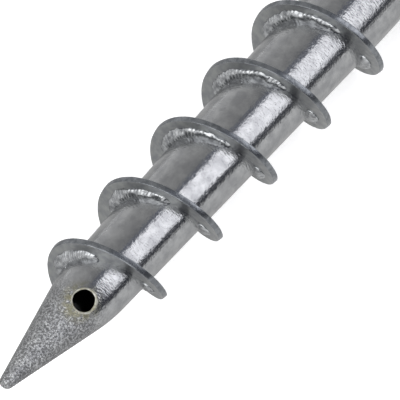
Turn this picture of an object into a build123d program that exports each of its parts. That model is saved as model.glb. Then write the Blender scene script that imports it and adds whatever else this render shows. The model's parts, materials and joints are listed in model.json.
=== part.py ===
from build123d import *
from dataclasses import dataclass
from math import asin, atan, atan2, ceil, cos, degrees, exp, floor, hypot, pi, radians, sin, sqrt, tan
import os

# Foundation ground screw: a steel tube drawn down to a closed point, with a flat bar wound round it as a
# helical flight and held by short stitch welds.
# Lengths are millimetres and angles are degrees. The parts are made along the shaft, from the point (z = 0)
# up to the open head, with azimuth 0 through the drain hole. They are then laid down as the screw rests on
# the ground: on the rim of its last full turn and on the edge of its head.

# Shaft tube
SHAFT_LENGTH = 1000.0
TUBE_RADIUS = 38.0
TUBE_WALL = 3.6
TAPER_END = 457.5           # above here the tube has its full radius
TAPER_BLEND = 300.0
SHOULDER_HEIGHT = 104.7     # the cone ends and the slow taper begins
SHOULDER_RADIUS = 29.0
SHOULDER_WALL = 4.8         # swaging gathers the wall as the tube gets thinner
SHOULDER_BLEND = 150.0
NOSE_RADIUS = 6.1
CAVITY_START = 48.0         # below here the point is forged solid
CAVITY_NOSE_RADIUS = 2.5
HEAD_DEBURR = 0.8

# Drain hole, through one wall of the cone
DRAIN_HEIGHT = 91.3
DRAIN_RADIUS = 9.4

# Cross holes for driving bolts, through both walls of the head
CROSS_HOLE_RADIUS = 9.0
CROSS_HOLE_DEPTH = 50.0     # from the head's end to the first hole
CROSS_HOLE_SPACING = 60.0
CROSS_HOLE_COUNT = 2

# Helical flight, right-handed
FLIGHT_START = 93.0
FLIGHT_END = 516.8
FLIGHT_START_AZIMUTH = 160.0
FLIGHT_PITCH = 71.2
FLIGHT_WIDTH = 18.2
FLIGHT_THICKNESS = 5.0
LEAD_IN_WIDTH = 3.0
LEAD_IN_ARC = 140.0         # the bar is cut to grow to its full width over this arc
SECTION_STEP = 15.0         # between the sections that wound pieces are ruled through
FIT_UP_GAP = 0.1            # between pieces that are welded together

# Stitch welds, on the side of the flight that faces the point
WELD_FLIGHT_LEG = 6.5
WELD_TUBE_LEG = 4.0
WELD_SPACING = 180.0
WELD_ARC = 125.0
WELD_FIRST_MIDDLE = 306.5
WELD_SHORTENING = 36.0      # the first turn's stitches stop this much short, and later ones less
WELD_END_SCALE = 0.35
WELD_FULLNESS = 8           # power of the curve that draws the ends in

# Rest: the drain hole lies this far from straight up, turned about the shaft
REST_ROLL = 22.3


@dataclass
class Bend:
    """A corner of the shaft's outline in height and radius, rounded by an arc tangent to both sides."""

    height: float
    radius: float
    slope_below: float
    slope_above: float
    blend: float

    def __post_init__(self):
        half_turn = (atan(self.slope_below) - atan(self.slope_above)) / 2
        middle = (atan(self.slope_below) + atan(self.slope_above)) / 2
        reach = self.blend * tan(half_turn)
        drop = self.blend / cos(half_turn)
        self.low = self.height - reach * cos(atan(self.slope_below))
        self.high = self.height + reach * cos(atan(self.slope_above))
        self.centre_height = self.height + drop * sin(middle)
        self.centre_radius = self.radius - drop * cos(middle)

    def radius_at(self, height):
        return self.centre_radius + sqrt(self.blend**2 - (height - self.centre_height) ** 2)


# The cone is tangent to the round nose
to_shoulder = hypot(SHOULDER_HEIGHT - NOSE_RADIUS, SHOULDER_RADIUS)
cone_angle = atan2(SHOULDER_RADIUS, SHOULDER_HEIGHT - NOSE_RADIUS) - asin(NOSE_RADIUS / to_shoulder)
cone_slope = tan(cone_angle)
taper_slope = (TUBE_RADIUS - SHOULDER_RADIUS) / (TAPER_END - SHOULDER_HEIGHT)
shoulder = Bend(SHOULDER_HEIGHT, SHOULDER_RADIUS, cone_slope, taper_slope, SHOULDER_BLEND)
taper_top = Bend(TAPER_END, TUBE_RADIUS, taper_slope, 0.0, TAPER_BLEND)


def shaft_radius(height):
    """Outer radius of the tube at a height above the round nose."""
    for bend in (shoulder, taper_top):
        if bend.low < height < bend.high:
            return bend.radius_at(height)
    if height <= SHOULDER_HEIGHT:
        return SHOULDER_RADIUS - cone_slope * (SHOULDER_HEIGHT - height)
    if height <= TAPER_END:
        return SHOULDER_RADIUS + taper_slope * (height - SHOULDER_HEIGHT)
    return TUBE_RADIUS


def at(radius, azimuth, height):
    """Point at a radius, an azimuth and a height on the shaft."""
    return (radius * cos(radians(azimuth)), radius * sin(radians(azimuth)), height)


def make_shaft_tube():
    """Tube with its cone, drain hole and cross holes, turned from one outline."""
    nose_end = (NOSE_RADIUS * cos(cone_angle), NOSE_RADIUS * (1 - sin(cone_angle)))
    nose_middle_angle = (pi / 2 + cone_angle) / 2
    nose_middle = (NOSE_RADIUS * cos(nose_middle_angle), NOSE_RADIUS * (1 - sin(nose_middle_angle)))
    inner_radius = TUBE_RADIUS - TUBE_WALL
    nose = ThreePointArc((0, 0), nose_middle, nose_end)
    outside = FilletPolyline(
        nose_end,
        (SHOULDER_RADIUS, SHOULDER_HEIGHT),
        (TUBE_RADIUS, TAPER_END),
        (TUBE_RADIUS, SHAFT_LENGTH - HEAD_DEBURR),
        radius=[SHOULDER_BLEND, TAPER_BLEND],
    )
    inside = Polyline(
        (TUBE_RADIUS, SHAFT_LENGTH - HEAD_DEBURR),
        (TUBE_RADIUS - HEAD_DEBURR, SHAFT_LENGTH),
        (inner_radius, SHAFT_LENGTH),
        (inner_radius, TAPER_END),
        (SHOULDER_RADIUS - SHOULDER_WALL, SHOULDER_HEIGHT),
        (CAVITY_NOSE_RADIUS, CAVITY_START),
        (0, CAVITY_START),
        (0, 0),
    )
    outline = make_face([*nose.edges(), *outside.edges(), *inside.edges()])
    tube = revolve(Plane.XZ * outline, Axis.Z)

    cone_normal = Plane(origin=(0, 0, DRAIN_HEIGHT), x_dir=(0, 1, 0), z_dir=(1, 0, 0))
    tube -= cone_normal * extrude(Circle(DRAIN_RADIUS), 2 * TUBE_RADIUS)
    for number in range(CROSS_HOLE_COUNT):
        height = SHAFT_LENGTH - CROSS_HOLE_DEPTH - number * CROSS_HOLE_SPACING
        sideways = Plane(origin=(0, 0, height), z_dir=at(1, 90 - REST_ROLL, 0))
        tube -= sideways * Cylinder(CROSS_HOLE_RADIUS, 3 * TUBE_RADIUS)
    return tube


def flight_azimuth(height):
    """Azimuth of the flight's middle at a height."""
    return FLIGHT_START_AZIMUTH + 360 * (height - FLIGHT_START) / FLIGHT_PITCH


def flight_height(azimuth):
    """Height of the flight's middle at an azimuth counted on from turn to turn."""
    return FLIGHT_START + FLIGHT_PITCH * (azimuth - FLIGHT_START_AZIMUTH) / 360


def flight_width(height):
    """Width of the bar, which grows along the lead-in."""
    run = min(1.0, (flight_azimuth(height) - FLIGHT_START_AZIMUTH) / LEAD_IN_ARC)
    return LEAD_IN_WIDTH + (FLIGHT_WIDTH - LEAD_IN_WIDTH) * sin(pi / 2 * run)


def rim_radius(height):
    """Outer radius of the flight at a height."""
    return shaft_radius(height) + flight_width(height)


def seat_radius(height):
    """Radius of a section's foot, so that the straight length to the next one clears the tube."""
    return (shaft_radius(height) + FIT_UP_GAP) / cos(radians(SECTION_STEP / 2))


def flight_corners(height):
    """Four corners of the bar's section, from the root below round to the root above."""
    azimuth = flight_azimuth(height)
    low = height - FLIGHT_THICKNESS / 2
    high = height + FLIGHT_THICKNESS / 2
    rim = rim_radius(height)
    return [
        at(seat_radius(low), azimuth, low),
        at(rim, azimuth, low),
        at(rim, azimuth, high),
        at(seat_radius(high), azimuth, high),
    ]


def wound_bar(sections):
    """Solid through a row of sections round the shaft, ruled from each to the next."""
    return Solid.make_loft([Wire.make_polygon(section, close=True) for section in sections], ruled=True)


def make_helical_flight():
    """The bar, wound on edge."""
    steps = ceil((flight_azimuth(FLIGHT_END) - FLIGHT_START_AZIMUTH) / SECTION_STEP)
    sections = [
        flight_corners(FLIGHT_START + (FLIGHT_END - FLIGHT_START) * step / steps)
        for step in range(steps + 1)
    ]
    return wound_bar(sections)


def weld_corners(azimuth, scale):
    """Fillet bead's section in the corner between the tube and the flight: root, flight toe, tube toe."""
    root = flight_height(azimuth) - FLIGHT_THICKNESS / 2 - FIT_UP_GAP
    foot = root - scale * WELD_TUBE_LEG
    return [
        at(seat_radius(root), azimuth, root),
        at(shaft_radius(root) + scale * WELD_FLIGHT_LEG, azimuth, root),
        at(seat_radius(foot), azimuth, foot),
    ]


def make_stitch_weld(number):
    """One stitch, full along its middle and drawn in at its two ends."""
    middle = WELD_FIRST_MIDDLE + number * WELD_SPACING
    turn = floor(number * WELD_SPACING / 360)
    start = middle - WELD_ARC / 2
    end = middle + WELD_ARC / 2 - WELD_SHORTENING * exp(-turn)
    steps = ceil((end - start) / SECTION_STEP)
    sections = []
    for step in range(steps + 1):
        run = step / steps
        scale = 1 - (1 - WELD_END_SCALE) * abs(2 * run - 1) ** WELD_FULLNESS
        sections.append(weld_corners(start + (end - start) * run, scale))
    return wound_bar(sections)


def weld_count():
    """Stitches that fit between the flight's two ends."""
    room = flight_azimuth(FLIGHT_END) - WELD_FIRST_MIDDLE - WELD_ARC / 2
    return floor(room / WELD_SPACING) + 1


def rest_placement():
    """Where the shaft lies: origin at the centre of its open head, with +X from point to head and +Z up."""
    lowest_azimuth = 180 - REST_ROLL
    full_turns = floor((flight_azimuth(FLIGHT_END) - lowest_azimuth) / 360)
    contact = flight_height(lowest_azimuth + 360 * full_turns)
    drop = rim_radius(contact) - TUBE_RADIUS
    tilt = atan(drop / (SHAFT_LENGTH - HEAD_DEBURR - contact - FLIGHT_THICKNESS / 2))
    along = Vector(cos(tilt), 0, -sin(tilt))
    upward = Vector(sin(tilt), 0, cos(tilt))
    hole = upward * cos(radians(REST_ROLL)) + Vector(0, -1, 0) * sin(radians(REST_ROLL))
    print(f"rest: contact {contact:.2f} mm from the point, tilt {degrees(tilt):.4f} degrees")
    return Location(Plane(origin=along * -SHAFT_LENGTH, x_dir=hole, z_dir=along))


parts = {
    "shaft_tube": make_shaft_tube(),
    "helical_flight": make_helical_flight(),
    "stitch_welds": Compound([make_stitch_weld(number) for number in range(weld_count())]),
}

os.makedirs("parts", exist_ok=True)
placement = rest_placement()
for name, solid in parts.items():
    export_step(placement * solid, f"parts/{name}.step")
    print(f"{name}: {solid.volume:.1f} cubic millimetres, valid {solid.is_valid}")
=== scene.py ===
"""Looks of a foundation ground screw: a galvanised tube, a flight wound round it and its stitch welds.

The pieces are made along the shaft, in millimetres, from the point (z = 0) up to the open head, with
azimuth 0 through the drain hole. They are then laid down, in metres, in the frame of the CAD part.
"""

from __future__ import annotations

import json
import logging
from dataclasses import dataclass
from enum import Enum, IntEnum
from functools import partial
from math import asin, atan, atan2, cos, hypot, pi, radians, sin, sqrt, tan

import bmesh
import bpy
from mathutils import Matrix, Vector

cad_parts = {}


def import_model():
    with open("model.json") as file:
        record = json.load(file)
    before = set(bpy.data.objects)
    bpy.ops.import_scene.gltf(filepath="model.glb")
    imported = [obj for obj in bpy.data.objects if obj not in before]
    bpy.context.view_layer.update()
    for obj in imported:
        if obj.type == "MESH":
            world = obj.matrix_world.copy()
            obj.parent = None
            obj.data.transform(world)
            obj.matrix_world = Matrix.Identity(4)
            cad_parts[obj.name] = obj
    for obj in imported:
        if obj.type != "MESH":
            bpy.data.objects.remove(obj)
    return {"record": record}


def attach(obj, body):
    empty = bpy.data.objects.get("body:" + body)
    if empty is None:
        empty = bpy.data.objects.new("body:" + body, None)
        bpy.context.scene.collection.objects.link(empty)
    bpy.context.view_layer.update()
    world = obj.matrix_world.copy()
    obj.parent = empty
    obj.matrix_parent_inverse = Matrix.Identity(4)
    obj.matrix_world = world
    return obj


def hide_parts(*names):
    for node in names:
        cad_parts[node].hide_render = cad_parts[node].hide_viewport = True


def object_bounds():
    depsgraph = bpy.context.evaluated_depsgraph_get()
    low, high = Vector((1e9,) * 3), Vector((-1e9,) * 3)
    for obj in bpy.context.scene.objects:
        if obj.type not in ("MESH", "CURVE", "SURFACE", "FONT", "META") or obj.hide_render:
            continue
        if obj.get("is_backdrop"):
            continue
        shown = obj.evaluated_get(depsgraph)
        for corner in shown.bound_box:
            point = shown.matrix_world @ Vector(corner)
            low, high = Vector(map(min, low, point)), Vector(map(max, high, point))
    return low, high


LOG = logging.getLogger("ground_screw")
MM = 0.001
TURN = 2 * pi
MATH = "ShaderNodeMath"
RANDOM = "FunctionNodeRandomValue"
BEVELLED_FROM = radians(50)
BEVEL_SEGMENTS = 3
FIRM_EDGE = radians(35)
SOFT_EDGE = radians(80)
Feed = bpy.types.Node | bpy.types.NodeSocket


class Slot(Enum):
    """The record's material slots."""

    TUBE = "galvanised_tube"
    FLIGHT = "galvanised_flight"
    WELD = "weld_bead"


# Tools for node trees


def add_node(
    tree: bpy.types.NodeTree,
    kind: str,
    *values: object,
    named: dict[str, object] | None = None,
    **settings: object,
) -> bpy.types.Node:
    """Adds a node, sets it up and feeds its inputs.

    Args:
        tree: Node tree that gets the node.
        kind: Blender's name for the type of node.
        values: Values, sockets or nodes for the first inputs in use, in order. None leaves an input alone.
        named: The same for inputs given by their names.
        settings: Properties of the node itself.

    Returns:
        The new node.
    """
    node = tree.nodes.new(kind)
    for name, setting in settings.items():
        setattr(node, name, setting)
    fed = list(zip([socket for socket in node.inputs if socket.enabled], values))
    fed += [(node.inputs[name], value) for name, value in (named or {}).items()]
    for socket, value in fed:
        if isinstance(value, bpy.types.Node):
            value = next(output for output in value.outputs if output.enabled)
        if isinstance(value, bpy.types.NodeSocket):
            tree.links.new(value, socket)
        elif value is not None:
            socket.default_value = value
    return node


def new_geometry_tree(
    name: str, numbers: dict[str, float], output: tuple[str, str] = ("Geometry", "NodeSocketGeometry")
) -> tuple[bpy.types.NodeTree, bpy.types.Node]:
    """Starts a Geometry Nodes tree whose inputs are named sizes.

    Args:
        name: Name of the tree.
        numbers: Name and value of each input.
        output: Name and socket type of the tree's output.

    Returns:
        The tree and its input node.
    """
    tree = bpy.data.node_groups.new(name, "GeometryNodeTree")
    for label, value in numbers.items():
        socket = tree.interface.new_socket(name=label, in_out="INPUT", socket_type="NodeSocketFloat")
        socket.default_value = value
    tree.interface.new_socket(name=output[0], in_out="OUTPUT", socket_type=output[1])
    return tree, tree.nodes.new("NodeGroupInput")


def grow(
    name: str, tree: bpy.types.NodeTree, numbers: dict[str, float], bevel: float = 0.0
) -> bpy.types.Mesh:
    """Runs a tree once and keeps what it makes as a plain mesh.

    Args:
        name: Name of the mesh.
        tree: Geometry Nodes tree.
        numbers: Values of the tree's inputs; one that is left out keeps its default.
        bevel: Width by which sharp edges are rounded afterwards, or 0.

    Returns:
        The mesh, in millimetres along the shaft.
    """
    carrier = bpy.data.objects.new(name, bpy.data.meshes.new("carrier"))
    bpy.context.scene.collection.objects.link(carrier)
    modifier = carrier.modifiers.new("grow", "NODES")
    modifier.node_group = tree
    for item in tree.interface.items_tree:
        if item.in_out == "INPUT" and item.name in numbers:
            modifier[item.identifier] = float(numbers[item.name])
    if bevel:
        rounding = carrier.modifiers.new("rounding", "BEVEL")
        rounding.width = bevel
        rounding.segments = BEVEL_SEGMENTS
        rounding.limit_method = "ANGLE"
        rounding.angle_limit = BEVELLED_FROM
    depsgraph = bpy.context.evaluated_depsgraph_get()
    mesh = bpy.data.meshes.new_from_object(carrier.evaluated_get(depsgraph))
    bpy.data.objects.remove(carrier)
    mesh.name = name
    return mesh


# Shape of the shaft


@dataclass(frozen=True)
class Corner:
    """Corner of the shaft's outline in height and radius, rounded by an arc tangent to both sides."""

    height: float
    radius: float
    slope_below: float
    slope_above: float
    blend: float

    @property
    def half_turn(self) -> float:
        """Half of the angle that the outline turns through."""
        return (atan(self.slope_below) - atan(self.slope_above)) / 2

    @property
    def lost(self) -> float:
        """Radius that the arc takes off the sharp corner."""
        return self.blend * (1 / cos(self.half_turn) - 1)

    def radius_at(self, height: float) -> float | None:
        """Radius on the arc, or None beside it.

        Args:
            height: Height above the point.

        Returns:
            The radius, where the height is within the arc.
        """
        reach = self.blend * tan(self.half_turn)
        low = self.height - reach * cos(atan(self.slope_below))
        high = self.height + reach * cos(atan(self.slope_above))
        if not low < height < high:
            return None
        middle = (atan(self.slope_below) + atan(self.slope_above)) / 2
        drop = self.blend / cos(self.half_turn)
        centre_height = self.height + drop * sin(middle)
        centre_radius = self.radius - drop * cos(middle)
        return centre_radius + sqrt(self.blend**2 - (height - centre_height) ** 2)


@dataclass(frozen=True)
class Shaft:
    """Sizes of the tube in millimetres, and how it lies."""

    length: float = 1000.0
    tube_radius: float = 38.0
    tube_wall: float = 3.6
    taper_end: float = 457.5
    taper_blend: float = 300.0
    shoulder_height: float = 104.7
    shoulder_radius: float = 29.0
    shoulder_wall: float = 4.8
    shoulder_blend: float = 150.0
    nose_radius: float = 6.1
    cavity_start: float = 48.0
    cavity_nose_radius: float = 2.5
    deburr: float = 0.8
    drain_height: float = 91.3
    drain_radius: float = 9.4
    rest_roll: float = radians(22.3)

    @property
    def cone_angle(self) -> float:
        """Half angle of the cone, which is tangent to the round nose."""
        rise = self.shoulder_height - self.nose_radius
        return atan2(self.shoulder_radius, rise) - asin(self.nose_radius / hypot(rise, self.shoulder_radius))

    @property
    def taper_slope(self) -> float:
        """Radius gained per height between the shoulder and the full tube."""
        return (self.tube_radius - self.shoulder_radius) / (self.taper_end - self.shoulder_height)

    @property
    def corners(self) -> tuple[Corner, Corner]:
        """Corners of the outline between the cone and the full tube.

        Returns:
            The shoulder, and the top of the taper.
        """
        shoulder = Corner(
            height=self.shoulder_height,
            radius=self.shoulder_radius,
            slope_below=tan(self.cone_angle),
            slope_above=self.taper_slope,
            blend=self.shoulder_blend,
        )
        taper_top = Corner(self.taper_end, self.tube_radius, self.taper_slope, 0.0, self.taper_blend)
        return shoulder, taper_top

    def radius(self, height: float) -> float:
        """Outer radius of the tube.

        Args:
            height: Height above the point.

        Returns:
            The radius, with the nose and both corners rounded.
        """
        nose = self.nose_radius
        if height < nose * (1 - sin(self.cone_angle)):
            return sqrt(max(0.0, nose**2 - (nose - height) ** 2))
        for corner in self.corners:
            rounded = corner.radius_at(height)
            if rounded is not None:
                return rounded
        cone = self.shoulder_radius + tan(self.cone_angle) * (height - self.shoulder_height)
        taper = self.shoulder_radius + self.taper_slope * (height - self.shoulder_height)
        return min(cone, taper, self.tube_radius)

    def surface_group(self) -> bpy.types.NodeTree:
        """Node group that turns a height, an azimuth and a distance outward into a point at the shaft.

        Returns:
            The group, whose output is a vector in millimetres.
        """
        tree, given = new_geometry_tree(
            "At the shaft", {"Height": 0.0, "Azimuth": 0.0, "Outward": 0.0}, ("Point", "NodeSocketVector")
        )
        add = partial(add_node, tree)
        height, azimuth, outward = (given.outputs[name] for name in ("Height", "Azimuth", "Outward"))
        slope = tan(self.cone_angle)
        cone_foot = self.shoulder_radius - slope * self.shoulder_height
        cone = add(MATH, height, slope, cone_foot, operation="MULTIPLY_ADD")
        taper_foot = self.shoulder_radius - self.taper_slope * self.shoulder_height
        taper = add(MATH, height, self.taper_slope, taper_foot, operation="MULTIPLY_ADD")
        # A smooth minimum takes a sixth of its distance off the corner
        rounded = add(MATH, cone, taper, 6 * self.corners[0].lost, operation="SMOOTH_MIN")
        surface = add(MATH, rounded, self.tube_radius, operation="MINIMUM")
        radius = add(MATH, surface, outward, operation="ADD")
        across = add(MATH, radius, add(MATH, azimuth, operation="COSINE"), operation="MULTIPLY")
        aside = add(MATH, radius, add(MATH, azimuth, operation="SINE"), operation="MULTIPLY")
        add("NodeGroupOutput", add("ShaderNodeCombineXYZ", across, aside, height))
        return tree


@dataclass(frozen=True)
class Place:
    """Where the screw lies in the frame: head's centre at the origin, +X from point to head and +Z up."""

    along: Vector
    shaft: Shaft

    @property
    def tilt(self) -> float:
        """Angle by which the shaft leans from level, down towards the head."""
        return atan2(-self.along.z, self.along.x)

    @property
    def tip(self) -> Vector:
        """The point of the screw, in metres."""
        return self.along * -self.shaft.length * MM

    def matrix(self) -> Matrix:
        """Lays the screw down.

        Returns:
            The matrix from millimetres along the shaft to metres in the frame.
        """
        upward = Vector((-self.along.z, 0.0, self.along.x))
        hole = upward * cos(self.shaft.rest_roll) + Vector((0.0, -1.0, 0.0)) * sin(self.shaft.rest_roll)
        turned = Matrix((hole, self.along.cross(hole), self.along)).transposed().to_4x4()
        return Matrix.Translation(self.tip) @ turned @ Matrix.Scale(MM, 4)

    def lay(
        self, mesh: bpy.types.Mesh, node: str | None, sharp: float = FIRM_EDGE
    ) -> bpy.types.Object:
        """Makes a finished mesh a piece of the object.

        Args:
            mesh: Mesh in millimetres along the shaft.
            node: CAD node that the piece stands for, or None.
            sharp: Angle from which an edge stays sharp.

        Returns:
            The piece, which rides on the root body.
        """
        mesh.transform(self.matrix())
        mesh.shade_smooth()
        mesh.set_sharp_from_angle(angle=sharp)
        piece = bpy.data.objects.new(mesh.name, mesh)
        bpy.context.scene.collection.objects.link(piece)
        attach(piece, "root")
        if node:
            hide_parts(node)
        triangles = sum(len(face.vertices) - 2 for face in mesh.polygons)
        LOG.info("%s: %d triangles", piece.name, triangles)
        return piece


# Finishes


def linear(code: str) -> tuple[float, float, float, float]:
    """Turns an sRGB hex code to linear light.

    Args:
        code: Colour as "#RRGGBB".

    Returns:
        Linear red, green, blue and an alpha of 1.
    """
    parts = [int(code[start : start + 2], 16) / 255 for start in (1, 3, 5)]
    red, green, blue = [p / 12.92 if p <= 0.04045 else ((p + 0.055) / 1.055) ** 2.4 for p in parts]
    return (red, green, blue, 1.0)


@dataclass(frozen=True)
class ZincCoat:
    """Hot-dip galvanised steel: a thin zinc coat, run off a molten bath, so it is grey, satin to bright and
    faintly rippled where the zinc was dragged as it set. The contrast is the stretch of the noise's range,
    from 0 to 1, over which the colour and the roughness change."""

    name: str
    dark: str = "#8F9092"
    light: str = "#A3A4A5"
    roughness: float = 0.17
    roughness_spread: float = 0.05
    mottle_mm: float = 9.0
    mottle_contrast: tuple[float, float] = (0.35, 0.65)
    ripple_along_mm: float = 1.5
    ripple_around_mm: float = 3.2
    ripple_depth_mm: float = 0.24
    metallic: float = 1.0

    def material(self, tilt: float) -> bpy.types.Material:
        """Builds the material.

        Args:
            tilt: Lean of the shaft, which the ripples follow.

        Returns:
            The material, with one Principled shader.
        """
        material = bpy.data.materials.new(self.name)
        material.use_nodes = True
        tree = material.node_tree
        tree.nodes.clear()
        add = partial(add_node, tree)
        place = add("ShaderNodeTexCoord").outputs["Object"]
        # Along the shaft in x, in millimetres
        to_shaft = {"Rotation": (0.0, -tilt, 0.0), "Scale": (1 / MM,) * 3}
        along = add("ShaderNodeMapping", place, named=to_shaft).outputs[0]
        mottles = {"Vector": along, "Scale": 1 / self.mottle_mm, "Detail": 4.0}
        mottle = add("ShaderNodeTexNoise", named=mottles)
        ripple_scale = (1 / self.ripple_along_mm, 1 / self.ripple_around_mm, 1 / self.ripple_around_mm)
        stretched = add("ShaderNodeMapping", along, named={"Scale": ripple_scale})
        ripple = add("ShaderNodeTexNoise", named={"Vector": stretched, "Scale": 1.0, "Detail": 2.0})
        height = add(MATH, ripple, self.ripple_depth_mm * MM, operation="MULTIPLY")
        contrast = dict(zip(("From Min", "From Max"), self.mottle_contrast))
        colour = add("ShaderNodeMapRange", mottle, named=contrast)
        base = add("ShaderNodeMix", colour, linear(self.dark), linear(self.light), data_type="RGBA")
        dull = self.roughness + self.roughness_spread / 2
        bright = self.roughness - self.roughness_spread / 2
        rough = add("ShaderNodeMapRange", mottle, named=contrast | {"To Min": dull, "To Max": bright})
        base, rough, height = self.dress(tree, along, base, rough, height)
        bump = add("ShaderNodeBump", named={"Strength": 1.0, "Distance": 1.0, "Height": height})
        surface = {"Base Color": base, "Metallic": self.metallic, "Roughness": rough, "Normal": bump}
        add("ShaderNodeOutputMaterial", add("ShaderNodeBsdfPrincipled", named=surface))
        return material

    def dress(
        self, tree: bpy.types.NodeTree, along: Feed, base: Feed, rough: Feed, height: Feed
    ) -> tuple[Feed, Feed, Feed]:
        """Adds what one place on the object has beyond the plain coat; here it adds nothing."""
        return base, rough, height


@dataclass(frozen=True)
class ShaftCoat(ZincCoat):
    """The coat of the tube: bright and finely scratched along the shaft, and on the forged cone grainy, where
    the zinc froze on a rough skin. Flux has left a brown-yellow stain round the drain hole. The scratches
    and the grain are drawn coarser than the real ones, so that they show."""

    shaft: Shaft = Shaft()
    drain_centre: Vector = Vector()
    cone_roughness: float = 0.15
    cone_fade_mm: float = 28.0
    grain_mm: float = 1.7
    grain_depth_mm: float = 1.5
    grain_contrast: tuple[float, float] = (0.4, 0.6)
    grain_shades: tuple[float, float] = (0.5, 1.2)
    scratch_width_mm: float = 0.9
    scratch_length_mm: float = 60.0
    scratch_depth_mm: float = 0.04
    stain: str = "#86836A"
    stain_strength: float = 0.9
    stain_reach: float = 2.1
    stain_drift_mm: tuple[float, float, float] = (-3.0, 1.5, 0.0)
    stain_cloud_mm: float = 5.0
    stain_contrast: tuple[float, float] = (0.36, 0.56)

    def dress(
        self, tree: bpy.types.NodeTree, along: Feed, base: Feed, rough: Feed, height: Feed
    ) -> tuple[Feed, Feed, Feed]:
        """Adds the scratches, the cone's grain and the stain.

        Args:
            tree: Node tree of the material.
            along: Place in millimetres, with the shaft along x.
            base: Base colour so far.
            rough: Roughness so far.
            height: Height for the bump so far, in metres.

        Returns:
            The new base colour, roughness and height.
        """
        add = partial(add_node, tree)
        limits = ("From Min", "From Max", "To Min", "To Max")
        shaft = self.shaft
        position = add("ShaderNodeSeparateXYZ", along).outputs["X"]
        cone_top = shaft.shoulder_height - shaft.length
        fade = dict(zip(limits, (cone_top - self.cone_fade_mm, cone_top, 1.0, 0.0)))
        cone = add("ShaderNodeMapRange", position, named=fade, interpolation_type="SMOOTHSTEP")
        grain = add("ShaderNodeTexNoise", named={"Vector": along, "Scale": 1 / self.grain_mm, "Detail": 2.0})
        grain_height = add(MATH, grain, self.grain_depth_mm * MM, operation="MULTIPLY")
        grain_height = add(MATH, grain_height, cone, operation="MULTIPLY")
        scratch_scale = (1 / self.scratch_length_mm, 1 / self.scratch_width_mm, 1 / self.scratch_width_mm)
        stretched = add("ShaderNodeMapping", along, named={"Scale": scratch_scale})
        scratch = add("ShaderNodeTexNoise", named={"Vector": stretched, "Scale": 1.0, "Detail": 1.0})
        height = add(MATH, scratch, self.scratch_depth_mm * MM, height, operation="MULTIPLY_ADD")
        height = add(MATH, height, grain_height, operation="ADD")
        rough = add("ShaderNodeMix", cone, rough, self.cone_roughness, data_type="FLOAT")
        shades = dict(zip(limits, self.grain_contrast + self.grain_shades))
        speckle = add("ShaderNodeMapRange", grain, named=shades)
        speckle = add("ShaderNodeMix", cone, 1.0, speckle, data_type="FLOAT")
        base = add("ShaderNodeVectorMath", base, operation="SCALE", named={"Scale": speckle})
        stain_centre = tuple(self.drain_centre + Vector(self.stain_drift_mm) * MM)
        place = add("ShaderNodeTexCoord").outputs["Object"]
        distance = add("ShaderNodeVectorMath", place, stain_centre, operation="DISTANCE").outputs["Value"]
        drain = shaft.drain_radius * MM
        reach = dict(zip(limits, (drain, drain * self.stain_reach, self.stain_strength, 0.0)))
        near = add("ShaderNodeMapRange", distance, named=reach)
        clouds = {"Vector": along, "Scale": 1 / self.stain_cloud_mm, "Detail": 3.0}
        cloud = add("ShaderNodeTexNoise", named=clouds)
        cloud = add("ShaderNodeMapRange", cloud, named=dict(zip(limits, self.stain_contrast)))
        stained = add(MATH, near, cloud, operation="MULTIPLY")
        base = add("ShaderNodeMix", stained, base, linear(self.stain), data_type="RGBA")
        return base, rough, height


# Pieces


class Skin(IntEnum):
    """Materials of the tube's mesh, in order."""

    OUTSIDE = 0
    CAVITY = 1
    DRAIN = 2


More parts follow.
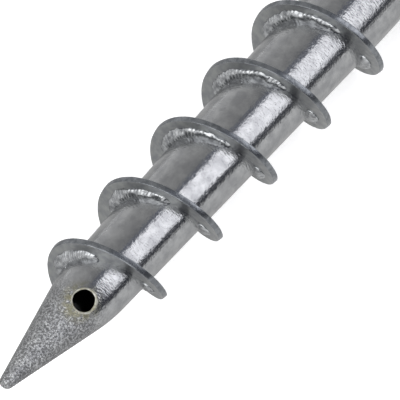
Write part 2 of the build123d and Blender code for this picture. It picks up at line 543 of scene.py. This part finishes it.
@dataclass(frozen=True)
class ShaftTube:
    """The tube with its cone, drain hole and cross holes, turned from one outline, and the zinc that
    gathered at the drain. Rows are given by their height in millimetres, or by their number."""

    shaft: Shaft
    segments: int = 256
    hole_segments: int = 96
    nose_rows: int = 10
    cone_row: float = 1.5
    cone_rows_past_shoulder: float = 30.0
    taper_row: float = 5.0
    taper_rows_past_end: float = 10.0
    tube_row: float = 20.0
    bore_rows: int = 12
    throat_rows: int = 10
    cavity_rows: int = 20
    lip_radius: float = 0.85
    lip_flatness: float = 0.42
    lip_heavier: float = 0.4
    lip_heavy_side: float = 0.7
    lip_lumps: float = 0.12
    lip_fine_lumps: float = 0.08
    lip_steps: int = 128
    lip_sides: int = 12

    def outline(self) -> list[tuple[float, float]]:
        """Radius and height of each row of the lathe, up the outside and down the inside.

        Returns:
            The rows, from the pole at the nose to the pole at the bottom of the cavity.
        """
        shaft = self.shaft
        reach = pi / 2 - shaft.cone_angle
        nose = range(self.nose_rows + 1)
        heights = [shaft.nose_radius * (1 - cos(reach * row / self.nose_rows)) for row in nose]
        stretches = (
            (shaft.shoulder_height + self.cone_rows_past_shoulder, self.cone_row),
            (shaft.taper_end + self.taper_rows_past_end, self.taper_row),
            (shaft.length - shaft.deburr, self.tube_row),
        )
        for end, step in stretches:
            start = heights[-1]
            count = max(1, round((end - start) / step))
            heights += [start + (end - start) * (row + 1) / count for row in range(count)]
        outside = [(shaft.radius(height), height) for height in heights]
        bore = shaft.tube_radius - shaft.tube_wall
        throat = shaft.shoulder_radius - shaft.shoulder_wall
        inside = [(shaft.tube_radius - shaft.deburr, shaft.length), (bore, shaft.length)]
        corners = (
            (bore, shaft.taper_end, self.bore_rows),
            (throat, shaft.shoulder_height, self.throat_rows),
            (shaft.cavity_nose_radius, shaft.cavity_start, self.cavity_rows),
        )
        for radius, height, count in corners:
            last_radius, last_height = inside[-1]
            wider, higher = radius - last_radius, height - last_height
            for share in [row / count for row in range(1, count + 1)]:
                inside.append((last_radius + wider * share, last_height + higher * share))
        return outside + inside + [(0.0, shaft.cavity_start)]

    def turned(self) -> bpy.types.Mesh:
        """Turns the outline to a closed mesh.

        Returns:
            The mesh, with the faces of the cavity marked as such.
        """
        # A row with less radius than this is one point, and a face with more than this upward looks up
        pole, upward = 1e-6, 0.9
        points, rings = [], []
        for radius, height in self.outline():
            if radius < pole:
                rings.append([len(points)] * self.segments)
                points.append((0.0, 0.0, height))
                continue
            rings.append(list(range(len(points), len(points) + self.segments)))
            for segment in range(self.segments):
                azimuth = TURN * segment / self.segments
                points.append((radius * cos(azimuth), radius * sin(azimuth), height))
        faces = []
        for lower, upper in zip(rings, rings[1:]):
            for segment in range(self.segments):
                after = (segment + 1) % self.segments
                corners = (lower[segment], lower[after], upper[after], upper[segment])
                faces.append(tuple(dict.fromkeys(corners)))
        mesh = bpy.data.meshes.new("turned tube")
        mesh.from_pydata(points, [], faces)
        bore = self.shaft.tube_radius - self.shaft.tube_wall
        for face in mesh.polygons:
            middle, normal = face.center, face.normal
            inward = normal.x * middle.x + normal.y * middle.y < 0
            bottom = hypot(middle.x, middle.y) < bore and normal.z > upward
            face.material_index = Skin.CAVITY if inward or bottom else Skin.OUTSIDE
        return mesh

    def cutters(self, mounts: dict[str, dict]) -> bpy.types.Mesh:
        """Rods that cut the drain hole and the cross holes.

        Args:
            mounts: The record's mounts by name.

        Returns:
            One mesh of closed cylinders, marked with what each leaves on the wall that it cuts.
        """
        shaft = self.shaft
        one_wall, both_walls = 2 * shaft.tube_radius, 3 * shaft.tube_radius
        rods = [(Skin.DRAIN, shaft.drain_radius, shaft.drain_height, 0.0, shaft.tube_radius, one_wall)]
        across = pi / 2 - shaft.rest_roll
        for name in ("cross_bolt_upper", "cross_bolt_lower"):
            height = shaft.length - Vector(mounts[name]["pos_m"]).length / MM
            rods.append((Skin.OUTSIDE, mounts[name]["dims"]["r_mm"], height, across, 0.0, both_walls))
        shape = bmesh.new()
        for skin, radius, height, azimuth, outward, depth in rods:
            cut_before = set(shape.faces)
            place = (
                Matrix.Translation((0, 0, height))
                @ Matrix.Rotation(azimuth, 4, "Z")
                @ Matrix.Translation((outward, 0, 0))
                @ Matrix.Rotation(pi / 2, 4, "Y")
            )
            bmesh.ops.create_cone(
                shape,
                cap_ends=True,
                segments=self.hole_segments,
                radius1=radius,
                radius2=radius,
                depth=depth,
                matrix=place,
            )
            for face in set(shape.faces) - cut_before:
                face.material_index = skin
        mesh = bpy.data.meshes.new("hole_cutters")
        shape.to_mesh(mesh)
        shape.free()
        return mesh

    def build(self, mounts: dict[str, dict]) -> bpy.types.Mesh:
        """Turns the tube and cuts its holes.

        Args:
            mounts: The record's mounts by name.

        Returns:
            The mesh, in millimetres along the shaft.
        """
        carrier = bpy.data.objects.new("tube", self.turned())
        cutter = bpy.data.objects.new("cutter", self.cutters(mounts))
        for item in (carrier, cutter):
            bpy.context.scene.collection.objects.link(item)
        cut = carrier.modifiers.new("holes", "BOOLEAN")
        cut.operation = "DIFFERENCE"
        cut.solver = "EXACT"
        cut.object = cutter
        depsgraph = bpy.context.evaluated_depsgraph_get()
        mesh = bpy.data.meshes.new_from_object(carrier.evaluated_get(depsgraph))
        bpy.data.objects.remove(carrier)
        bpy.data.objects.remove(cutter)
        mesh.name = "shaft_tube_coat"
        return mesh

    def drain_lip(self) -> bpy.types.Mesh:
        """Ring of zinc that gathered on the edge of the drain hole as the bath ran out of it.

        Returns:
            A closed ring in millimetres along the shaft, flatter than it is wide and heavier on one side.
        """
        shaft, steps, sides = self.shaft, self.lip_steps, self.lip_sides
        radius = shaft.drain_radius + self.lip_radius / 2
        angles = [TURN * step / steps for step in range(steps)]
        edge = []
        for angle in angles:
            height = shaft.drain_height + radius * sin(angle)
            across = radius * cos(angle)
            edge.append(Vector((sqrt(shaft.radius(height) ** 2 - across**2), across, height)))
        points, faces = [], []
        for step, angle in enumerate(angles):
            travel = (edge[(step + 1) % steps] - edge[step - 1]).normalized()
            outward = Vector((1.0, 0.0, 0.0))
            outward = (outward - travel * outward.dot(travel)).normalized()
            aside = travel.cross(outward)
            heavier = self.lip_heavier * cos(angle - self.lip_heavy_side)
            lumps = self.lip_lumps * sin(5 * angle) + self.lip_fine_lumps * sin(11 * angle)
            size = self.lip_radius * (1 + heavier + lumps)
            for side in range(sides):
                turn = TURN * side / sides
                rise = outward * (self.lip_flatness * size * cos(turn))
                points.append(edge[step] + rise + aside * (size * sin(turn)))
                here, there = step * sides, (step + 1) % steps * sides
                after = (side + 1) % sides
                faces.append((here + side, here + after, there + after, there + side))
        mesh = bpy.data.meshes.new("drain_lip")
        mesh.from_pydata(points, [], faces)
        shape = bmesh.new()
        shape.from_mesh(mesh)
        bmesh.ops.recalc_face_normals(shape, faces=shape.faces)
        shape.to_mesh(mesh)
        shape.free()
        return mesh


@dataclass(frozen=True)
class HelicalFlight:
    """Flat bar wound on edge round the shaft, right-handed. Millimetres and radians."""

    shaft: Shaft
    start: float = 93.0
    end: float = 516.8
    start_azimuth: float = radians(160.0)
    pitch: float = 71.2
    width: float = 18.2
    thickness: float = 5.0
    root_sunk: float = 0.6
    lead_in_width: float = 3.0
    lead_in_arc: float = radians(140.0)
    steps_per_turn: int = 120
    points_across: int = 7
    points_through: int = 6
    rim_slope: float = 0.05
    rim_curve: float = 0.02
    edge_rounding: float = 0.55
    waviness: float = 0.35
    wave_length: float = 22.0

    @property
    def climb(self) -> float:
        """Height gained per radian."""
        return self.pitch / TURN

    @property
    def foot(self) -> float:
        """Height, carried back to azimuth 0, of the corner under the bar where the welds lie."""
        return self.start - self.climb * self.start_azimuth - self.thickness / 2

    def numbers(self) -> dict[str, float]:
        """The tree's inputs by name."""
        return {
            "Start": self.start,
            "End": self.end,
            "Pitch": self.pitch,
            "Start azimuth": self.start_azimuth,
            "Width": self.width,
            "Thickness": self.thickness,
            "Lead-in width": self.lead_in_width,
            "Lead-in arc": self.lead_in_arc,
            "Root": self.root_sunk,
            "Rim slope": self.rim_slope,
            "Rim curve": self.rim_curve,
            "Waviness": self.waviness,
        }

    def tree(
        self, surface: bpy.types.NodeTree, flat: bpy.types.Material, edge: bpy.types.Material
    ) -> bpy.types.NodeTree:
        """Tree that stands a straight bar along the shaft and winds it round.

        Args:
            surface: Node group for a point at the shaft.
            flat: Finish of the bar's flat faces.
            edge: Finish of the rolled edge, which becomes the rim; its darker colour is painted shade.

        Returns:
            The tree.
        """
        tree, given = new_geometry_tree("Wound bar", self.numbers())
        add = partial(add_node, tree)
        size = given.outputs
        run = add(MATH, size["End"], size["Start"], operation="SUBTRACT")
        turns = add(MATH, run, size["Pitch"], operation="DIVIDE")
        steps = add(MATH, turns, float(self.steps_per_turn), operation="MULTIPLY")
        # The straight bar is one unit across
        straight_size = add("ShaderNodeCombineXYZ", run, 1.0, size["Thickness"])
        points = {"Vertices X": steps, "Vertices Y": self.points_across, "Vertices Z": self.points_through}
        bar = add("GeometryNodeMeshCube", named={"Size": straight_size, **points}).outputs["Mesh"]
        place = add("GeometryNodeInputPosition")
        straight = add("ShaderNodeSeparateXYZ", place).outputs
        share = add(MATH, straight["X"], run, operation="DIVIDE")
        share = add(MATH, share, 0.5, operation="ADD")
        turned = add(MATH, share, turns, operation="MULTIPLY")
        turned = add(MATH, turned, TURN, operation="MULTIPLY")
        azimuth = add(MATH, turned, size["Start azimuth"], operation="ADD")
        middle = add(MATH, share, run, size["Start"], operation="MULTIPLY_ADD")
        height = add(MATH, middle, straight["Z"], operation="ADD")
        # The bar grows to its full width along the lead-in
        lead = add(MATH, turned, size["Lead-in arc"], operation="DIVIDE", use_clamp=True)
        lead = add(MATH, lead, pi / 2, operation="MULTIPLY")
        lead = add(MATH, lead, operation="SINE")
        gain = add(MATH, size["Width"], size["Lead-in width"], operation="SUBTRACT")
        width = add(MATH, lead, gain, size["Lead-in width"], operation="MULTIPLY_ADD")
        rooted = add(MATH, width, size["Root"], operation="ADD")
        across = add(MATH, straight["Y"], 0.5, operation="ADD")
        sunk = add(MATH, size["Root"], -1.0, operation="MULTIPLY")
        outward = add(MATH, across, rooted, sunk, operation="MULTIPLY_ADD")
        # The rolled edge falls away towards the point, more and more
        half = add(MATH, size["Thickness"], 0.5, operation="MULTIPLY")
        aside = add(MATH, half, straight["Z"], operation="SUBTRACT")
        fall = add(MATH, aside, size["Rim curve"], size["Rim slope"], operation="MULTIPLY_ADD")
        fall = add(MATH, fall, aside, operation="MULTIPLY")
        fall = add(MATH, fall, across, operation="MULTIPLY")
        outward = add(MATH, outward, fall, operation="SUBTRACT")
        point = add("GeometryNodeGroup", height, azimuth, outward, node_tree=surface)
        just_inside = 0.49
        rim = add("FunctionNodeCompare", straight["Y"], just_inside, operation="GREATER_THAN")
        store = "GeometryNodeStoreNamedAttribute"
        marked = add(store, bar, None, "rim", rim, data_type="BOOLEAN", domain="FACE")
        wound = add("GeometryNodeSetPosition", named={"Geometry": marked, "Position": point})
        waves = {"Vector": place, "Scale": 1 / self.wave_length, "Detail": 1.0}
        noise = add("ShaderNodeTexNoise", named=waves).outputs["Color"]
        centred = add("ShaderNodeVectorMath", noise, (0.5, 0.5, 0.5), operation="SUBTRACT")
        offset = add("ShaderNodeVectorMath", centred, operation="SCALE", named={"Scale": size["Waviness"]})
        waved = add("GeometryNodeSetPosition", named={"Geometry": wound, "Offset": offset})
        real = add("GeometryNodeRealizeInstances", waved)
        coated = add("GeometryNodeSetMaterial", named={"Geometry": real, "Material": flat})
        rim = add("GeometryNodeInputNamedAttribute", "rim", data_type="BOOLEAN")
        # The rim takes the darker finish, which is painted shade
        edged = {"Geometry": coated, "Selection": rim, "Material": edge}
        add("NodeGroupOutput", add("GeometryNodeSetMaterial", named=edged))
        return tree


@dataclass(frozen=True)
class StitchWelds:
    """Short fillet beads on the side of the flight that faces the point. Millimetres and radians.

    The section is a lens from the toe on the flight to the toe on the tube, given by shares of the two legs:
    how far out its middle lies, how far it spreads to each side of it, and how far it crowns."""

    flight: HelicalFlight
    flight_leg: float = 9.5
    tube_leg: float = 4.2
    count: int = 11
    spacing: float = radians(180.0)
    arc: float = radians(125.0)
    first_middle: float = radians(306.5)
    shortening: float = radians(36.0)
    centre: float = 0.38
    spread: float = 0.55
    crown: float = 0.3
    bluntness: float = 5.0
    ripple_mm: float = 3.2
    ripple_height: float = 0.02
    ripple_chevron: float = 2.0
    unevenness: float = 0.26
    wander_per_radian: float = 5.0
    wander_scale: float = 0.9
    points_along: int = 240
    points_round: int = 16
    drops: int = 70
    smallest_drop: float = 0.2
    largest_drop: float = 0.6
    drop_reach: float = 7.5
    seed: int = 7

    def numbers(self) -> dict[str, float]:
        """The bead tree's inputs by name."""
        return {
            "Flight leg": self.flight_leg,
            "Tube leg": self.tube_leg,
            "Spacing": self.spacing,
            "Arc": self.arc,
            "First middle": self.first_middle,
            "Shortening": self.shortening,
            "Ripples": self.arc * self.flight.shaft.tube_radius / self.ripple_mm,
            "Ripple height": self.ripple_height,
            "Unevenness": self.unevenness,
            "Centre": self.centre,
            "Spread": self.spread,
            "Crown": self.crown,
        }

    def tree(self, surface: bpy.types.NodeTree, material: bpy.types.Material) -> bpy.types.NodeTree:
        """Tree that sets one straight bead per stitch on a line and winds them all into their corner.

        Args:
            surface: Node group for a point at the shaft.
            material: Finish of the beads.

        Returns:
            The tree.
        """
        tree, given = new_geometry_tree("Stitch welds", self.numbers())
        add = partial(add_node, tree)
        size = given.outputs
        flight = self.flight
        apart = 10.0
        bead_size = {
            "Vertices": self.points_round,
            "Side Segments": self.points_along,
            "Radius": 1.0,
            "Depth": 1.0,
        }
        bead = add("GeometryNodeMeshCylinder", named=bead_size, fill_type="TRIANGLE_FAN").outputs["Mesh"]
        places = {"Count": self.count, "Offset": (0.0, 0.0, apart)}
        line = add("GeometryNodeMeshLine", named=places, mode="OFFSET")
        beads = add("GeometryNodeInstanceOnPoints", named={"Points": line, "Instance": bead})
        beads = add("GeometryNodeRealizeInstances", beads)
        straight = add("ShaderNodeSeparateXYZ", add("GeometryNodeInputPosition")).outputs
        number = add(MATH, straight["Z"], 1 / apart, 0.5, operation="MULTIPLY_ADD")
        number = add(MATH, number, operation="FLOOR")
        # From -1 at the start of a stitch to 1 at its end, on beads one unit long that stand apart
        run = add(MATH, number, -apart, straight["Z"], operation="MULTIPLY_ADD")
        run = add(MATH, run, 2.0, operation="MULTIPLY")
        # The first stitches start late, and each turn less so
        turns_back = add(MATH, number, -1 / TURN, operation="MULTIPLY")
        turns_back = add(MATH, turns_back, size["Spacing"], operation="MULTIPLY")
        fade = add(MATH, turns_back, operation="EXPONENT")
        cut = add(MATH, fade, size["Shortening"], operation="MULTIPLY")
        cut = add(MATH, cut, 0.5, operation="MULTIPLY")
        half = add(MATH, size["Arc"], 0.5, operation="MULTIPLY")
        half = add(MATH, half, cut, operation="SUBTRACT")
        middle = add(MATH, number, size["Spacing"], size["First middle"], operation="MULTIPLY_ADD")
        middle = add(MATH, middle, cut, operation="SUBTRACT")
        azimuth = add(MATH, run, half, middle, operation="MULTIPLY_ADD")
        root = add(MATH, azimuth, flight.climb, flight.foot, operation="MULTIPLY_ADD")
        # Full along the middle, drawn into the corner at both ends
        ends = add(MATH, run, operation="ABSOLUTE")
        ends = add(MATH, ends, self.bluntness, operation="POWER")
        ends = add(MATH, 1.0, ends, operation="SUBTRACT")
        ends = add(MATH, ends, operation="SQRT")
        phase = add(MATH, size["Ripples"], pi, operation="MULTIPLY")
        phase = add(MATH, run, phase, operation="MULTIPLY")
        chevron = add(MATH, straight["X"], straight["X"], operation="MULTIPLY")
        phase = add(MATH, chevron, -self.ripple_chevron, phase, operation="MULTIPLY_ADD")
        ripple = add(MATH, phase, operation="SINE")
        ripple = add(MATH, ripple, size["Ripple height"], 1.0, operation="MULTIPLY_ADD")
        wander = add(MATH, azimuth, self.wander_per_radian, operation="MULTIPLY")
        wander = add("ShaderNodeCombineXYZ", straight["X"], straight["Y"], wander)
        noise = add("ShaderNodeTexNoise", named={"Vector": wander, "Scale": self.wander_scale, "Detail": 1.0})
        noise = add(MATH, noise, 0.5, operation="SUBTRACT")
        uneven = add(MATH, size["Unevenness"], 2.0, operation="MULTIPLY")
        uneven = add(MATH, noise, uneven, ripple, operation="MULTIPLY_ADD")
        swell = add(MATH, uneven, ends, operation="MULTIPLY")
        crown = add(MATH, straight["Y"], size["Crown"], size["Centre"], operation="MULTIPLY_ADD")
        spread = add(MATH, straight["X"], size["Spread"], operation="MULTIPLY")
        outward = add(MATH, crown, spread, operation="ADD")
        outward = add(MATH, outward, swell, operation="MULTIPLY")
        outward = add(MATH, outward, size["Flight leg"], operation="MULTIPLY")
        drop = add(MATH, crown, spread, operation="SUBTRACT")
        drop = add(MATH, drop, swell, operation="MULTIPLY")
        drop = add(MATH, drop, size["Tube leg"], operation="MULTIPLY")
        height = add(MATH, root, drop, operation="SUBTRACT")
        point = add("GeometryNodeGroup", height, azimuth, outward, node_tree=surface)
        wound = add("GeometryNodeSetPosition", named={"Geometry": beads, "Position": point})
        real = add("GeometryNodeRealizeInstances", wound)
        add("NodeGroupOutput", add("GeometryNodeSetMaterial", named={"Geometry": real, "Material": material}))
        return tree

    def spatter_tree(self, surface: bpy.types.NodeTree, material: bpy.types.Material) -> bpy.types.NodeTree:
        """Tree that throws small drops of weld metal on the tube beside the stitches.

        Args:
            surface: Node group for a point at the shaft.
            material: Finish of the drops.

        Returns:
            The tree, which has a fixed seed.
        """
        numbers = {
            "Drops": self.drops,
            "Smallest": self.smallest_drop,
            "Largest": self.largest_drop,
            "Reach": self.drop_reach,
            "Seed": self.seed,
        }
        tree, given = new_geometry_tree("Weld spatter", numbers)
        add = partial(add_node, tree)
        size = given.outputs
        seeds = [size["Seed"]] + [add(MATH, size["Seed"], float(after), operation="ADD") for after in (1, 2)]
        cloud = add("GeometryNodePoints", named={"Count": size["Drops"]})
        first = self.first_middle - self.arc / 2
        last = self.first_middle + self.spacing * (self.count - 1) + self.arc / 2
        azimuth = add(RANDOM, first, last, None, seeds[0], data_type="FLOAT")
        below = add(RANDOM, self.tube_leg, size["Reach"], None, seeds[1], data_type="FLOAT")
        root = add(MATH, azimuth, self.flight.climb, self.flight.foot, operation="MULTIPLY_ADD")
        height = add(MATH, root, below, operation="SUBTRACT")
        point = add("GeometryNodeGroup", height, azimuth, 0.0, node_tree=surface)
        thrown = add("GeometryNodeSetPosition", named={"Geometry": cloud, "Position": point})
        drop = add("GeometryNodeMeshIcoSphere", named={"Radius": 1.0, "Subdivisions": 2}).outputs["Mesh"]
        scale = add(RANDOM, size["Smallest"], size["Largest"], None, seeds[2], data_type="FLOAT")
        placed = {"Points": thrown, "Instance": drop, "Scale": scale}
        real = add("GeometryNodeRealizeInstances", add("GeometryNodeInstanceOnPoints", named=placed))
        add("NodeGroupOutput", add("GeometryNodeSetMaterial", named={"Geometry": real, "Material": material}))
        return tree


# Studio


@dataclass(frozen=True)
class Card:
    """Strip of the cards round the shaft. Its sides are given in degrees from straight up towards -Y, as
    the shaft sees them; past 90 degrees it lies on the floor. Its ends are in metres along X, and it hangs
    nearer to the shaft than its neighbours by a number of metres."""

    name: str
    start: float
    end: float
    strength_at_start: float
    strength_at_end: float
    colour: str = "#FFFFFF"
    point_end: float = -5.0
    head_end: float = 5.0
    nearer: float = 0.0


@dataclass(frozen=True)
class Studio:
    """White floor and backdrop, soft boxes, grey and dark cards, and the camera. Metres and radians."""

    floor_size: float = 24.0
    floor_colour: str = "#E6E6E6"
    floor_glow: float = 0.6
    world_fill: float = 0.5
    shaft_height: float = 0.045
    tunnel_radius: float = 2.2
    card_steps: int = 16
    cards: tuple[Card, ...] = (
        Card("grey_mat", -152.0, -92.0, 0.5, 0.68),
        Card("pale_mat", 91.0, 168.0, 1.14, 0.31),
        Card("pale_canopy", -84.0, -58.0, 0.88, 0.84),
        Card("grey_canopy", -58.0, 3.0, 0.72, 0.45),
        Card("dark_surround", 3.0, 90.0, 0.4, 0.08, "#D0D6EA"),
        Card("soft_box", 16.0, 69.5, 2.4, 2.4, "#FAFAFE", point_end=-0.45, head_end=0.75, nearer=0.02),
        Card("front_box", -42.0, 62.0, 2.1, 2.1, head_end=-1.22, nearer=0.02),
    )
    elevation: float = radians(62.357)
    heading: float = radians(38.405)
    distance: float = 2.3834
    lens_mm: float = 270.0
    sensor_mm: float = 36.0
    clipping: tuple[float, float] = (0.1, 60.0)
    aim_right: float = 0.1571
    aim_up: float = 0.1485

    def floor(self, level: float) -> None:
        """Lays the floor, which glows for camera and mirror rays and still takes the shadow.

        Args:
            level: Height of the floor in metres.
        """
        half = self.floor_size / 2
        corners = [(-half, -half, level), (half, -half, level), (half, half, level), (-half, half, level)]
        mesh = bpy.data.meshes.new("floor")
        mesh.from_pydata(corners, [], [(0, 1, 2, 3)])
        material = bpy.data.materials.new("white studio floor")
        material.use_nodes = True
        tree = material.node_tree
        tree.nodes.clear()
        add = partial(add_node, tree)
        matt = add("ShaderNodeBsdfDiffuse", linear(self.floor_colour))
        strength = add(MATH, self.seen(tree), self.floor_glow, operation="MULTIPLY")
        glow = add("ShaderNodeEmission", linear("#FFFFFF"), strength)
        add("ShaderNodeOutputMaterial", add("ShaderNodeAddShader", matt, glow))
        self.show_stage("floor", mesh, material)

    @staticmethod
    def seen(tree: bpy.types.NodeTree) -> bpy.types.Node:
        """Picks out the rays that show the background: camera, mirror and glass rays.

        Args:
            tree: Node tree of the material or the world.

        Returns:
            Node that gives 1 for those rays and 0 for the rest.
        """
        path = add_node(tree, "ShaderNodeLightPath").outputs
        mirrored = add_node(tree, MATH, path["Is Camera Ray"], path["Is Glossy Ray"], operation="MAXIMUM")
        return add_node(tree, MATH, mirrored, path["Is Transmission Ray"], operation="MAXIMUM")

    @staticmethod
    def show_stage(name: str, mesh: bpy.types.Mesh, material: bpy.types.Material) -> bpy.types.Object:
        """Puts a piece of the studio in the scene.

        Args:
            name: Name of the piece.
            mesh: Its mesh, in metres.
            material: Its material.

        Returns:
            The piece, which is no part of the object.
        """
        mesh.materials.append(material)
        piece = bpy.data.objects.new(name, mesh)
        bpy.context.scene.collection.objects.link(piece)
        piece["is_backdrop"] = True
        return piece

    def card_edge(self, angle: float) -> tuple[float, float]:
        """Place of a card's line along the shaft.

        Args:
            angle: Angle at which the shaft sees it, from straight up towards -Y.

        Returns:
            Its distance towards +Y and its height above the floor, in metres.
        """
        if cos(angle) > 0:
            return -self.tunnel_radius * sin(angle), self.tunnel_radius * cos(angle)
        return self.shaft_height * tan(angle), MM

    def card_mesh(self, card: Card, level: float) -> bpy.types.Mesh:
        """Bends a card to its place round the shaft.

        Args:
            card: The card.
            level: Height of the floor in metres.

        Returns:
            Its mesh, with the share of the way from one side to the other as an attribute.
        """
        steps = self.card_steps
        reach = 1 - card.nearer / self.tunnel_radius
        points = []
        for step in range(steps + 1):
            across, up = self.card_edge(radians(card.start + (card.end - card.start) * step / steps))
            points += [(end, reach * across, level + reach * up) for end in (card.point_end, card.head_end)]
        faces = [(2 * step, 2 * step + 1, 2 * step + 3, 2 * step + 2) for step in range(steps)]
        mesh = bpy.data.meshes.new(card.name)
        mesh.from_pydata(points, [], faces)
        shares = mesh.attributes.new("share", "FLOAT", "POINT")
        shares.data.foreach_set("value", [point // 2 / steps for point in range(len(points))])
        return mesh

    def hang_cards(self, level: float) -> None:
        """Hangs the cards, which only light the object and show in its reflections.

        Args:
            level: Height of the floor, above which the tunnel's axis lies.
        """
        for card in self.cards:
            material = bpy.data.materials.new(card.name)
            material.use_nodes = True
            tree = material.node_tree
            tree.nodes.clear()
            add = partial(add_node, tree)
            share = add("ShaderNodeAttribute", attribute_name="share").outputs["Fac"]
            gain = card.strength_at_end - card.strength_at_start
            strength = add(MATH, share, gain, card.strength_at_start, operation="MULTIPLY_ADD")
            add("ShaderNodeOutputMaterial", add("ShaderNodeEmission", linear(card.colour), strength))
            hung = self.show_stage(card.name, self.card_mesh(card, level), material)
            hung.visible_camera = False
            hung.visible_shadow = False
            # A card on the floor shows in reflections only
            hung.visible_diffuse = abs(card.start) <= 90

    def backdrop(self) -> None:
        """White world for camera, mirror and glass rays, and an even fill for the rest."""
        world = bpy.data.worlds.new("white backdrop")
        bpy.context.scene.world = world
        world.use_nodes = True
        tree = world.node_tree
        tree.nodes.clear()
        add = partial(add_node, tree)
        fill = self.world_fill
        strength = add(MATH, self.seen(tree), 1 - fill, fill, operation="MULTIPLY_ADD")
        add("ShaderNodeOutputWorld", add("ShaderNodeBackground", linear("#FFFFFF"), strength))

    def camera(self, tip: Vector) -> None:
        """Sets up the camera, level and looking down at the screw.

        Args:
            tip: The point of the screw, in metres.
        """
        down, turned = self.elevation, self.heading
        ahead = Vector((cos(down) * cos(turned), cos(down) * sin(turned), -sin(down)))
        right = Vector((sin(turned), -cos(turned), 0.0))
        up = right.cross(ahead)
        data = bpy.data.cameras.new("camera")
        data.sensor_width = self.sensor_mm
        data.lens = self.lens_mm
        data.clip_start, data.clip_end = self.clipping
        camera = bpy.data.objects.new("camera", data)
        bpy.context.scene.collection.objects.link(camera)
        camera.location = tip + right * self.aim_right + up * self.aim_up - ahead * self.distance
        camera.rotation_mode = "QUATERNION"
        camera.rotation_quaternion = ahead.to_track_quat("-Z", "Y")
        bpy.context.scene.camera = camera


def main() -> None:
    """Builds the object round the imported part, and the studio round the object."""
    logging.basicConfig(level=logging.INFO, format="%(message)s")
    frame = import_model()
    cad_box = [list(corner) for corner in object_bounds()]
    mounts = {mount["name"]: mount for mount in frame["record"]["mounts"]}
    shaft = Shaft()
    place = Place(Vector(mounts["socket"]["axis"]).normalized(), shaft)
    surface = shaft.surface_group()

    drain_centre = place.matrix() @ Vector((shaft.radius(shaft.drain_height), 0.0, shaft.drain_height))
    tube_coat = ShaftCoat("galvanised drawn tube", shaft=shaft, drain_centre=drain_centre)
    # The zinc inside the tube is dull, and its darker colour is painted shade of the closed cavity
    cavity_coat_with_painted_shade = ZincCoat("dull zinc inside the tube with painted shade", dark="#4A4B4D", light="#66686A", roughness=0.55)
    lip_coat = ZincCoat(
        "pooled zinc at the drain",
        dark="#827E69",
        light="#C4C4BE",
        roughness=0.36,
        mottle_mm=5.0,
        metallic=0.6,
    )
    flight_coat = ZincCoat(
        "galvanised flat bar",
        dark="#95979A",
        light="#ABADAC",
        roughness=0.34,
        mottle_mm=6.0,
        ripple_around_mm=3.0,
        ripple_depth_mm=0.12,
    )
    # The rolled edge is the same zinc as the flat faces; its darker colour is painted shade
    edge_coat_with_painted_shade = ZincCoat(
        "galvanised rolled edge with painted shade",
        dark="#66696D",
        light="#84878B",
        roughness=0.27,
        mottle_mm=5.0,
        ripple_depth_mm=0.1,
    )
    weld_coat = ZincCoat(
        "galvanised weld bead",
        dark="#828487",
        light="#C4C6C8",
        roughness=0.21,
        mottle_mm=5.0,
        ripple_along_mm=1.9,
        ripple_around_mm=9.0,
        ripple_depth_mm=0.12,
    )

    tube = ShaftTube(shaft)
    tube_mesh = tube.build(mounts)
    tube_mesh.materials.clear()
    drain_material = lip_coat.material(place.tilt)
    for material in (tube_coat.material(place.tilt), cavity_coat_with_painted_shade.material(place.tilt), drain_material):
        tube_mesh.materials.append(material)
    place.lay(tube_mesh, "shaft_tube")
    lip_mesh = tube.drain_lip()
    lip_mesh.materials.append(drain_material)
    place.lay(lip_mesh, None)

    flight = HelicalFlight(shaft)
    flight_tree = flight.tree(surface, flight_coat.material(place.tilt), edge_coat_with_painted_shade.material(place.tilt))
    flight_mesh = grow("helical_flight_coat", flight_tree, flight.numbers(), bevel=flight.edge_rounding)
    place.lay(flight_mesh, "helical_flight")

    welds = StitchWelds(flight)
    weld_material = weld_coat.material(place.tilt)
    weld_mesh = grow("weld_beads", welds.tree(surface, weld_material), welds.numbers())
    place.lay(weld_mesh, "stitch_welds", sharp=SOFT_EDGE)
    spatter_mesh = grow("weld_spatter", welds.spatter_tree(surface, weld_material), {})
    place.lay(spatter_mesh, None, sharp=SOFT_EDGE)

    studio = Studio()
    level = cad_box[0][2]
    studio.floor(level)
    studio.hang_cards(level)
    studio.backdrop()
    studio.camera(place.tip)
    bpy.context.scene.view_settings.view_transform = "Standard"


if __name__ == "__main__":
    main()
